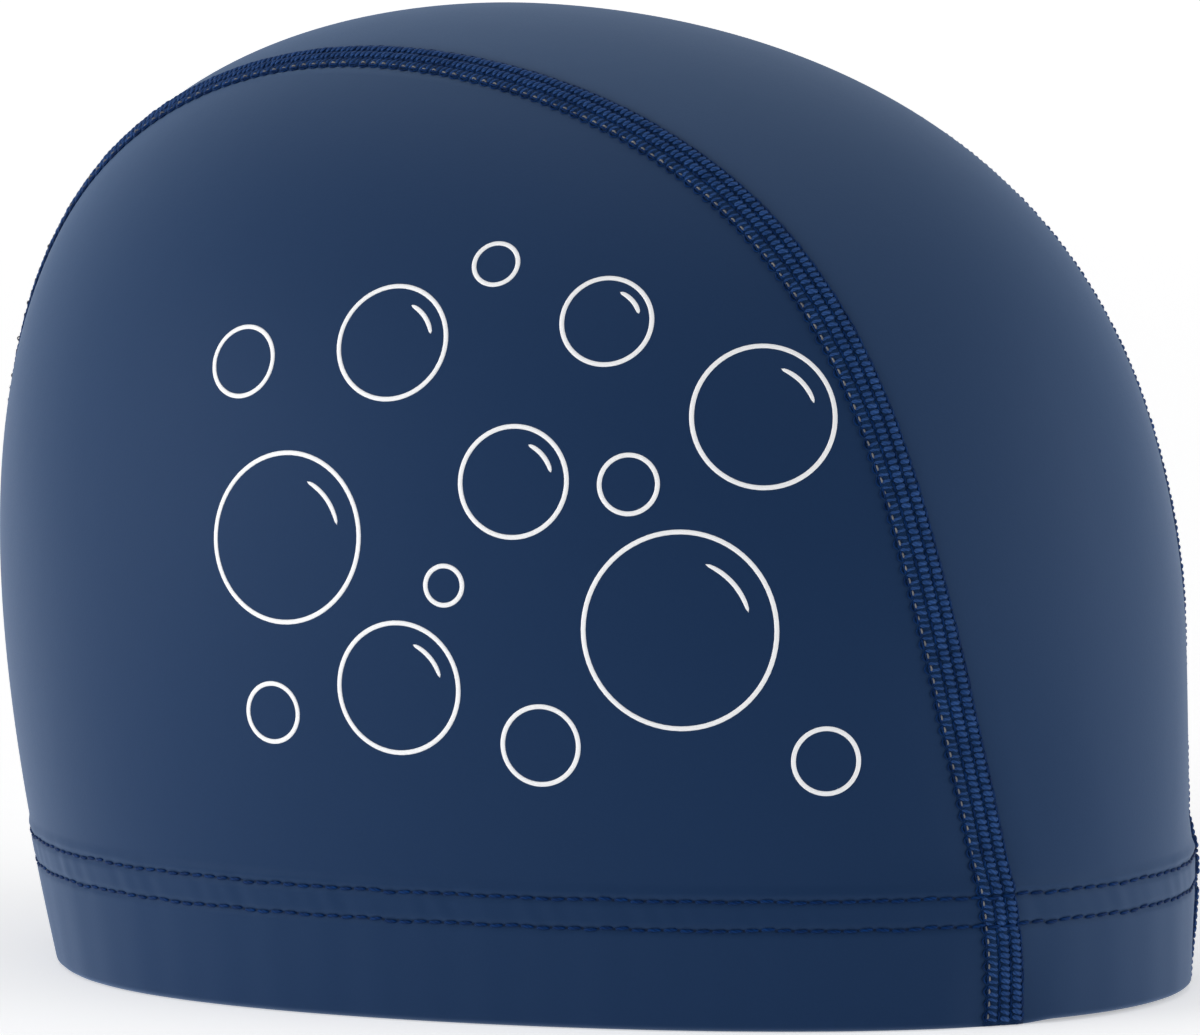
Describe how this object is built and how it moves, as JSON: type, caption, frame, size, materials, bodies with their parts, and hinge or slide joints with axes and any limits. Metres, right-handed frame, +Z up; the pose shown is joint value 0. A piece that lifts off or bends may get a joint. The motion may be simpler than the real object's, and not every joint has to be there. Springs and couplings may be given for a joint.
{
  "type": "swim cap",
  "caption": "Dome-shaped swim cap of coated stretch cloth: a centre strip between two side panels, flat cover-stitched seams and a turned-up double hem, open below.",
  "frame": {"origin": "centre of the bounding box at its base, under the middle of the cap's length, in the plane that the rim stands on", "axes": "+Z up to the crown, -Y towards the forehead, +Y towards the nape, -X the wearer's right side and +X the left side"},
  "size_m": [0.1492, 0.2002, 0.1499],
  "materials": {
    "coated_cloth": "navy knit with a smooth satin polyurethane coating",
    "seam_thread": "royal blue filament thread in flat cover stitches, slightly shiny",
    "print": "thin white screen print, matt"
  },
  "bodies": {
    "root": {"centre_panel": "coated_cloth", "side_panel_right": "coated_cloth", "side_panel_left": "coated_cloth", "seam_right": "seam_thread", "seam_left": "seam_thread"}
  },
  "joints": []
}
